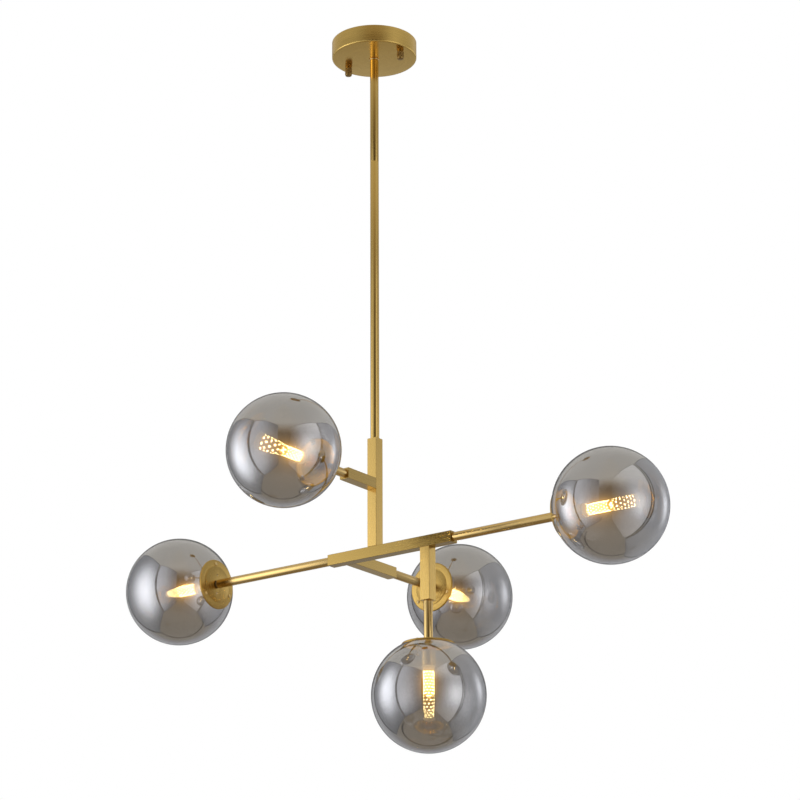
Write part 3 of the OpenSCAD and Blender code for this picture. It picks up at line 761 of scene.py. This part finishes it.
for side, (centre, turn, a_screw, a_vent, t_len) in UNITS.items():
    W = unit_matrix(side)
    M = lambda z=0.0, ang=0.0: W @ Matrix.Rotation(math.radians(ang), 4, "Z") @ Matrix.Translation((0, 0, z * MM))
    make(f"{side}_round_arm", *tube(t_len, 0.7), BRASS_ARM, M(-S_TUBE - t_len), "lamp_frame", f"{side}_arm_tube", "rod_brass", sharp=50)
    make(f"{side}_holder_thread", *pipe(-S_TUBE - 10, -62.5), THREAD, W, "lamp_frame", None or (), "dark_thread", sharp=60)
    disc = make(f"{side}_holder_disc", *lathe(holder_profile(), 192), BRASS_DISC_PAINTED_SHADE_AND_GLOW, W)
    cutters = []
    for ang, rr, at in [(a_screw + 120 * k, 1.55, 28.8) for k in range(3)] + [(a_vent + k, 1.6, 13.0) for k in (0, 180)]:
        p = W @ Matrix.Rotation(math.radians(ang), 4, "Z") @ Matrix.Translation((at * MM, 0, -S_RIM * MM))
        bpy.ops.mesh.primitive_cylinder_add(vertices=32, radius=rr * MM, depth=6 * MM)
        c = bpy.context.object
        c.matrix_world = p
        cutters.append(c)
    bpy.context.view_layer.update()
    cut(disc, cutters)
    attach(disc, "lamp_frame")
    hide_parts(f"{side}_shade_holder")
    heads, clips = [], []
    for k in range(3):
        rot = Matrix.Rotation(math.radians(a_screw + 120 * k), 4, "Z")
        heads.append(moved(screw_head(), rot @ Matrix.Translation((28.8, 0, -S_RIM))))
        heads.append(moved(lathe([(0, 3.2), (1.1, 3.2), (1.48, 2.8), (1.48, 0.1), (0, 0.1)][::-1], 24, closed=False), rot @ Matrix.Translation((28.8, 0, -S_RIM))))
        clips.append(moved(leaf_clip(), rot))
    make(f"{side}_clip_screws", *join(*heads), BRASS_POLISHED, W, "lamp_frame", (), "polished_brass", sharp=50)
    make(f"{side}_spring_clips", *join(*clips), SPRING, W, "lamp_frame", (), "spring_steel", sharp=40)
    make(f"{side}_holder_nut", *hex_nut(14, -S_BACK, -S_NUT, 5.0), ZINC, W, "lamp_frame", (), "zinc_steel", sharp=25)
    plate = [(5.0, -S_NUT), (SOCKET_R - 0.2, -S_NUT), (SOCKET_R, -S_NUT + 0.2), (SOCKET_R, -S_CLAY - 0.2), (SOCKET_R - 0.2, -S_CLAY), (5.0, -S_CLAY)]
    make(f"{side}_lampholder_plate", *lathe(plate, 96), ZINC, W, "lamp_frame", (), "zinc_steel", sharp=40)
    body = make(f"{side}_ceramic_body", *lampholder_part(), CERAMIC, W, sharp=40)
    cutters = []
    for e in (-1, 1):
        bpy.ops.mesh.primitive_cube_add(size=1)
        c = bpy.context.object
        c.scale = (1.5 * MM, 4.2 * MM, 12 * MM)
        c.matrix_world = W @ Matrix.Translation((e * 4.5 * MM, 0, (-S_FACE - 9 + 6) * MM)) @ Matrix.Diagonal((1.5 * MM, 4.2 * MM, 12 * MM, 1))
        cutters.append(c)
    bpy.context.view_layer.update()
    cut(body, cutters)
    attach(body, "lamp_frame")
    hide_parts(f"{side}_lampholder")
    b = f"{side}_led_bulb"
    dome = make(f"{side}_bulb_dome", *cover_part(), COVER, W, b, f"{side}_bulb", "bulb_cover", sharp=60)
    dome.visible_shadow = False
    make(f"{side}_led_core", *core_part(), LED_CORE_PAINTED_GLOW, W, b, (), "bulb_cover", sharp=50)
    make(f"{side}_led_chips", *chips_part(), CHIP, W, b, (), "bulb_cover", sharp=50)
    make(f"{side}_pin_base", *base_part(), BULB_BASE_PAINTED_GLOW, W, b, f"{side}_bulb_base", "bulb_base", sharp=40)
    make(f"{side}_glass_ball", *lathe(globe_profile(), 192), GLASS, W, f"{side}_glass_globe", f"{side}_globe", "smoked_glass", sharp=70)

# nodes whose five sets are drawn above as separate pieces, one of which stands for each
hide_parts("holder_nipples")
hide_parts("clip_screws")
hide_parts("glass_clips")
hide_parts("holder_nuts")
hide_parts("lampholder_brackets")

# ------------------------------------------------- finishes of the kept nodes
KEPT = {
    "ceiling_bracket": GALV, "canopy_studs": ZINC, "stud_lock_nuts": ZINC, "ground_screw": GREEN, "stem_washer": ZINC,
    "stem_nipple": ZINC, "stem_nut": ZINC, "rod_coupling": ZINC, "post_nipple": ZINC, "bar_nipples": ZINC,
    "wiring_harness": CABLE, "supply_leads": CABLE, "wire_connectors": ORANGE,
}
for n, m in KEPT.items():
    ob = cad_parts[n]
    if not ob.material_slots:
        ob.data.materials.append(m)
    for s in ob.material_slots:
        s.material = m

# ---------------------------------------------------------------------- stage
FLOOR_Z = -2.4
fl = bpy.data.meshes.new("studio_floor")
fl.from_pydata([(-14, -14, FLOOR_Z), (14, -14, FLOOR_Z), (14, 14, FLOOR_Z), (-14, 14, FLOOR_Z)], [], [(0, 1, 2, 3)])
floor = bpy.data.objects.new("studio_floor", fl)
scene.collection.objects.link(floor)
fm = Mat("pale_floor", (0.86, 0.86, 0.86), 0.0, 0.7)
fa = fm.noise(fm.coords((3, 3, 3)), 1.0, 3.0)
fm.to(fm.mix(fm.remap(fa, 0, 1), (0.85, 0.85, 0.85), (0.87, 0.87, 0.87)), "Base Color")
# it grows paler with distance, into the white of the backdrop
ft = fm.node("ShaderNodeTexCoord")
fs = fm.node("ShaderNodeVectorMath", operation="LENGTH")
fm.link(ft.outputs["Object"], fs.inputs[0])
fm.p.inputs["Emission Color"].default_value = (1, 1, 1, 1)
fm.to(fm.remap(fs.outputs["Value"], 0.16, 0.85, 1.5, 8.5), "Emission Strength")
fl.materials.append(fm.m)
floor.visible_glossy = False
floor.visible_transmission = False

# --------------------------------------------------------------------- camera
cam = bpy.data.cameras.new("camera")
cam.sensor_width = 36.0
cam.lens = 122.738
cam.clip_start, cam.clip_end = 0.05, 60
co = bpy.data.objects.new("camera", cam)
scene.collection.objects.link(co)
u = Vector((0.805697, 0.592310, -0.004558))
b = Vector((0.560174, -0.764439, -0.319120)).normalized()
v = b.cross(u).normalized()
u = v.cross(b).normalized()
co.matrix_world = Matrix(((u.x, v.x, b.x, 2.10960), (u.y, v.y, b.y, -2.82091), (u.z, v.z, b.z, -1.72242), (0, 0, 0, 1)))
scene.camera = co

# ---------------------------------------------------------------------- light
flat_b = Vector((b.x, b.y, 0)).normalized()      # from the lamp towards the camera, level
flat_u = Vector((u.x, u.y, 0)).normalized()      # to the camera's right, level
MIDDLE = Vector((0.02, 0.0, -0.72))


def softbox(name, right, up, back, w, h, power, color=(1, 1, 1), aim=None):
    """A soft rectangular light at that place about the lamp's middle, aimed at it."""
    li = bpy.data.lights.new(name, "AREA")
    li.shape, li.size, li.size_y, li.energy, li.color = "RECTANGLE", w, h, power, color
    ob = bpy.data.objects.new(name, li)
    scene.collection.objects.link(ob)
    at = MIDDLE + flat_u * right + flat_b * back + Vector((0, 0, up))
    d = ((aim or MIDDLE) - at).normalized()
    ob.matrix_world = Matrix.Translation(at) @ d.to_track_quat("-Z", "Y").to_matrix().to_4x4()
    ob.visible_camera = False
    return ob


# even light from above for the floor and the matt pieces; the metal and the glass reflect only the studio below
top = softbox("soft_top", 0.0, 2.6, 0.0, 3.2, 3.2, 150, (1.0, 0.985, 0.96))
top.visible_glossy = False
top.visible_transmission = False

world = bpy.data.worlds.new("studio")
scene.world = world
world.use_nodes = True
wn = world.node_tree
for n in list(wn.nodes):
    wn.nodes.remove(n)


def wnode(kind, **kw):
    n = wn.nodes.new(kind)
    for k, val in kw.items():
        setattr(n, k, val)
    return n


def wmath(op, *args):
    n = wnode("ShaderNodeMath", operation=op)
    for i, x in enumerate(args):
        if isinstance(x, (int, float)):
            n.inputs[i].default_value = x
        else:
            wn.links.new(x, n.inputs[i])
    return n.outputs[0]


tc = wnode("ShaderNodeTexCoord")


def dot(vec):
    n = wnode("ShaderNodeVectorMath", operation="DOT_PRODUCT")
    wn.links.new(tc.outputs["Generated"], n.inputs[0])
    n.inputs[1].default_value = tuple(vec)
    return n.outputs["Value"]


def step(src, a, c):
    """Smoothly from 0 at a to 1 at c."""
    n = wnode("ShaderNodeMapRange", interpolation_type="SMOOTHSTEP")
    n.inputs["From Min"].default_value, n.inputs["From Max"].default_value = a, c
    n.inputs["To Min"].default_value, n.inputs["To Max"].default_value = 0.0, 1.0
    wn.links.new(src, n.inputs["Value"])
    return n.outputs["Result"]


def between(src, a, c, soft):
    up, down = step(src, a - soft, a + soft), step(src, c - soft, c + soft)
    return wmath("SUBTRACT", up, down)


# the studio in degrees: azimuth from the camera's side round to the right, and height above level
side = wmath("MULTIPLY", wmath("ARCTAN2", dot(flat_u), dot(flat_b)), 180 / math.pi)
rise = wmath("MULTIPLY", wmath("ARCSINE", wmath("MINIMUM", wmath("MAXIMUM", dot((0, 0, 1)), -1.0), 1.0)), 180 / math.pi)
away = wmath("ABSOLUTE", side)


def lerp(a, c, t):
    """a where t is 0, c where t is 1."""
    return wmath("ADD", wmath("MULTIPLY", a, wmath("SUBTRACT", 1.0, t)), wmath("MULTIPLY", c, t))


walls = lerp(0.06, lerp(0.30, 0.50, step(away, 110, 145)), step(away, 10, 62))
room = lerp(walls, 0.66, step(rise, 12, 44))
down = wmath("MULTIPLY", rise, -1.0)
line = wmath("MULTIPLY", between(rise, -49.5, -46.5, 1.0), step(away, 75, 100))
room = lerp(room, 0.27, step(down, 2, 42))
room = wmath("MULTIPLY", room, wmath("SUBTRACT", 1.0, wmath("MULTIPLY", line, 0.8)))


def spot(az, el, wide, high, level):
    a = wmath("DIVIDE", wmath("SUBTRACT", side, az), wide)
    e = wmath("DIVIDE", wmath("SUBTRACT", rise, el), high)
    d = wmath("ADD", wmath("MULTIPLY", a, a), wmath("MULTIPLY", e, e))
    return wmath("MULTIPLY", wmath("EXPONENT", wmath("MULTIPLY", d, -0.5)), level)


total = wmath("ADD", room, spot(55, -5, 13, 14, 0.9))
# a darker opening in the far wall, which the round pieces mirror as a thin line along their edges
off = wmath("MULTIPLY", wmath("ARCCOSINE", wmath("MINIMUM", wmath("MAXIMUM", dot(-b), -1.0), 1.0)), 180 / math.pi)
total = wmath("MULTIPLY", total, lerp(0.30, 1.0, step(off, 17, 29)))


def tint(fac, c1, c2):
    n = wnode("ShaderNodeMix", data_type="RGBA")
    wn.links.new(fac, n.inputs["Factor"])
    for sock, c in ((n.inputs[6], c1), (n.inputs[7], c2)):
        if isinstance(c, tuple):
            sock.default_value = (*c, 1)
        else:
            wn.links.new(c, sock)
    return n.outputs[2]


# cool at lamp height, neutral overhead, brown below
hue = tint(step(rise, 10, 45), (0.97, 0.985, 1.03), (1.0, 0.98, 0.93))
hue = tint(step(away, 10, 40), tint(step(rise, 12, 40), (1.0, 0.76, 0.48), (1.0, 0.96, 0.88)), hue)
hue = tint(step(down, 20, 48), hue, (1.0, 0.86, 0.68))


def screen(name, p0, p1, z0, z1, spots, base, glare=(), clear=False, shut=0.0):
    """A sheet of lit cloth from p0 to p1 (right, towards the camera; metres from the stem) between two levels. spots: (place along it,
    level, width, height, strength). It is only mirrored: what is seen straight, or straight through glass, passes it."""
    a, c = (flat_u * p[0] + flat_b * p[1] for p in (p0, p1))
    length = (c - a).length
    me = bpy.data.meshes.new(name)
    me.from_pydata([(0, 0, z0), (length, 0, z0), (length, 0, z1), (0, 0, z1)], [], [(0, 1, 2, 3)])
    ob = bpy.data.objects.new(name, me)
    scene.collection.objects.link(ob)
    x = (c - a).normalized()
    y = Vector((0, 0, 1)).cross(x)
    ob.matrix_world = Matrix(((x.x, y.x, 0, a.x), (x.y, y.y, 0, a.y), (x.z, y.z, 1, 0), (0, 0, 0, 1)))
    ob.visible_shadow = False
    m = Mat(name, (0, 0, 0))
    s = m.node("ShaderNodeSeparateXYZ")
    tex = m.node("ShaderNodeTexCoord")
    m.link(tex.outputs["Object"], s.inputs[0])
    along, up = s.outputs[0], s.outputs[2]

    def soft(src, lo, hi):
        n = m.node("ShaderNodeMapRange", interpolation_type="SMOOTHSTEP")
        n.inputs["From Min"].default_value, n.inputs["From Max"].default_value = lo, hi
        m.link(src, n.inputs["Value"])
        return n.outputs["Result"]

    lo_base, hi_base = base
    power = m.math("ADD", m.math("MULTIPLY", soft(along, 0.0, length), hi_base - lo_base), lo_base)
    for at, level, wide, high, strength in spots:
        da = m.math("DIVIDE", m.math("SUBTRACT", along, at), wide)
        dz = m.math("DIVIDE", m.math("SUBTRACT", up, level), high)
        d = m.math("ADD", m.math("MULTIPLY", da, da), m.math("MULTIPLY", dz, dz))
        power = m.math("ADD", power, m.math("MULTIPLY", m.math("EXPONENT", m.math("MULTIPLY", d, -0.5)), strength))
    # dark frame: (side, width) at the two ends, top and bottom
    open_ = None
    for which, w in glare:
        src, edge, sign = {"start": (along, 0.0, 1), "end": (along, length, -1), "top": (up, z1, -1), "foot": (up, z0, 1)}[which]
        k = soft(m.math("MULTIPLY", m.math("SUBTRACT", src, edge), sign), w * 0.8, w * 1.2)
        open_ = k if open_ is None else m.math("MULTIPLY", open_, k)
    if open_ is not None:
        power = m.math("MULTIPLY", power, m.math("ADD", m.math("MULTIPLY", open_, 0.94), 0.06))
    # towards the floor it fades
    low = soft(up, -2.4, -1.25)
    power = m.math("ADD", m.math("MULTIPLY", power, low), m.math("MULTIPLY", m.math("SUBTRACT", 1.0, low), 0.13))
    em = m.node("ShaderNodeEmission")
    em.inputs["Color"].default_value = (0.945, 0.98, 1.07, 1)
    m.link(power, em.inputs["Strength"])
    thru = m.node("ShaderNodeBsdfTransparent")
    light = em.outputs[0]
    if clear:
        veil = m.node("ShaderNodeBsdfTransparent")
        if open_ is not None:
            grey = m.node("ShaderNodeCombineColor")
            pass_ = m.math("MULTIPLY", open_, 1.0 - shut)
            for i in range(3):
                m.link(pass_, grey.inputs[i])
            m.link(grey.outputs[0], veil.inputs["Color"])
        add = m.node("ShaderNodeAddShader")
        m.link(em.outputs[0], add.inputs[0])
        m.link(veil.outputs[0], add.inputs[1])
        light = add.outputs[0]
    path = m.node("ShaderNodeLightPath")
    straight = m.math("LESS_THAN", m.math("SUBTRACT", path.outputs["Ray Depth"], path.outputs["Transmission Depth"]), 0.5)
    pick = m.node("ShaderNodeMixShader")
    m.link(straight, pick.inputs[0])
    m.link(light, pick.inputs[1])
    m.link(thru.outputs[0], pick.inputs[2])
    m.link(pick.outputs[0], m.nt.nodes["Material Output"].inputs["Surface"])
    m.m.cycles.emission_sampling = "NONE"
    me.materials.append(m.m)
    return ob


screen("screen_left", (-1.03, -1.20), (-1.03, 0.50), -2.06, 0.20, [(1.25, -0.80, 0.30, 0.40, 2.1)], (0.30, 0.36),
       [("start", 0.13), ("end", 0.024), ("top", 0.012), ("foot", 0.022)])
screen("screen_front_left", (-1.01, 0.53), (-0.34, 1.54), -2.06, 0.20, [(0.0, -0.75, 0.45, 0.9, 0.35)], (0.54, 0.19),
       [("start", 0.024), ("top", 0.012), ("foot", 0.022)])
screen("lamp_right", (2.10, -0.10), (2.10, -2.20), -1.60, 0.90, [(1.00, -0.40, 0.36, 0.36, 4.2)], (0.0, 0.0), (), clear=True)
screen("screen_right", (0.78, 0.30), (0.78, -1.20), -2.06, 0.06, [], (0.34, 0.30), [("start", 0.024), ("end", 0.11), ("top", 0.012), ("foot", 0.022)], clear=True, shut=0.75)
screen("screen_front_right", (0.77, 0.33), (0.27, 1.57), -2.06, 0.06, [], (0.36, 0.05), [("start", 0.024), ("top", 0.012), ("foot", 0.022)], clear=True)

out = wnode("ShaderNodeOutputWorld")
pick = wnode("ShaderNodeMixShader")
pick2 = wnode("ShaderNodeMixShader")
white = wnode("ShaderNodeBackground")
white.inputs["Color"].default_value = (1, 1, 1, 1)
white.inputs["Strength"].default_value = 1.0
pale = wnode("ShaderNodeBackground")
pale.inputs["Color"].default_value = (1.0, 0.93, 0.80, 1)
pale.inputs["Strength"].default_value = 0.66
studio = wnode("ShaderNodeBackground")
wn.links.new(hue, studio.inputs["Color"])
wn.links.new(total, studio.inputs["Strength"])
lp = wnode("ShaderNodeLightPath")
# what is seen straight through the glass is the paper behind, from every side
seen_through = wmath("LESS_THAN", wmath("SUBTRACT", lp.outputs["Ray Depth"], lp.outputs["Transmission Depth"]), 0.5)
wn.links.new(seen_through, pick.inputs[0])
wn.links.new(studio.outputs[0], pick.inputs[1])
wn.links.new(pale.outputs[0], pick.inputs[2])
wn.links.new(lp.outputs["Is Camera Ray"], pick2.inputs[0])
wn.links.new(pick.outputs[0], pick2.inputs[1])
wn.links.new(white.outputs[0], pick2.inputs[2])
wn.links.new(pick2.outputs[0], out.inputs["Surface"])

# the lens spreads a little of the light of the bulbs' chips
scene.use_nodes = True
cn = scene.node_tree
for n in list(cn.nodes):
    cn.nodes.remove(n)
layers = cn.nodes.new("CompositorNodeRLayers")
bloom = cn.nodes.new("CompositorNodeGlare")
bloom.glare_type = "BLOOM"
bloom.quality = "HIGH"
bloom.inputs["Threshold"].default_value = 1.25
bloom.inputs["Smoothness"].default_value = 0.1
bloom.inputs["Strength"].default_value = 1.0
bloom.inputs["Saturation"].default_value = 1.0
bloom.inputs["Tint"].default_value = (1.0, 0.67, 0.25, 1)
bloom.inputs["Size"].default_value = 0.12
halo = cn.nodes.new("CompositorNodeExposure")
halo.inputs["Exposure"].default_value = 1.6
both = cn.nodes.new("CompositorNodeMixRGB")
both.blend_type = "ADD"
both.inputs["Fac"].default_value = 1.0
picture = cn.nodes.new("CompositorNodeComposite")
cn.links.new(layers.outputs["Image"], bloom.inputs["Image"])
cn.links.new(bloom.outputs["Glare"], halo.inputs["Image"])
cn.links.new(layers.outputs["Image"], both.inputs[1])
cn.links.new(halo.outputs["Image"], both.inputs[2])
cn.links.new(both.outputs["Image"], picture.inputs["Image"])

scene.view_settings.view_transform = "Standard"
scene.view_settings.look = "None"
scene.cycles.max_bounces = 20
scene.cycles.transmission_bounces = 16
scene.cycles.glossy_bounces = 8
scene.cycles.transparent_max_bounces = 12
scene.cycles.use_denoising = True
scene.cycles.sample_clamp_indirect = 40.0
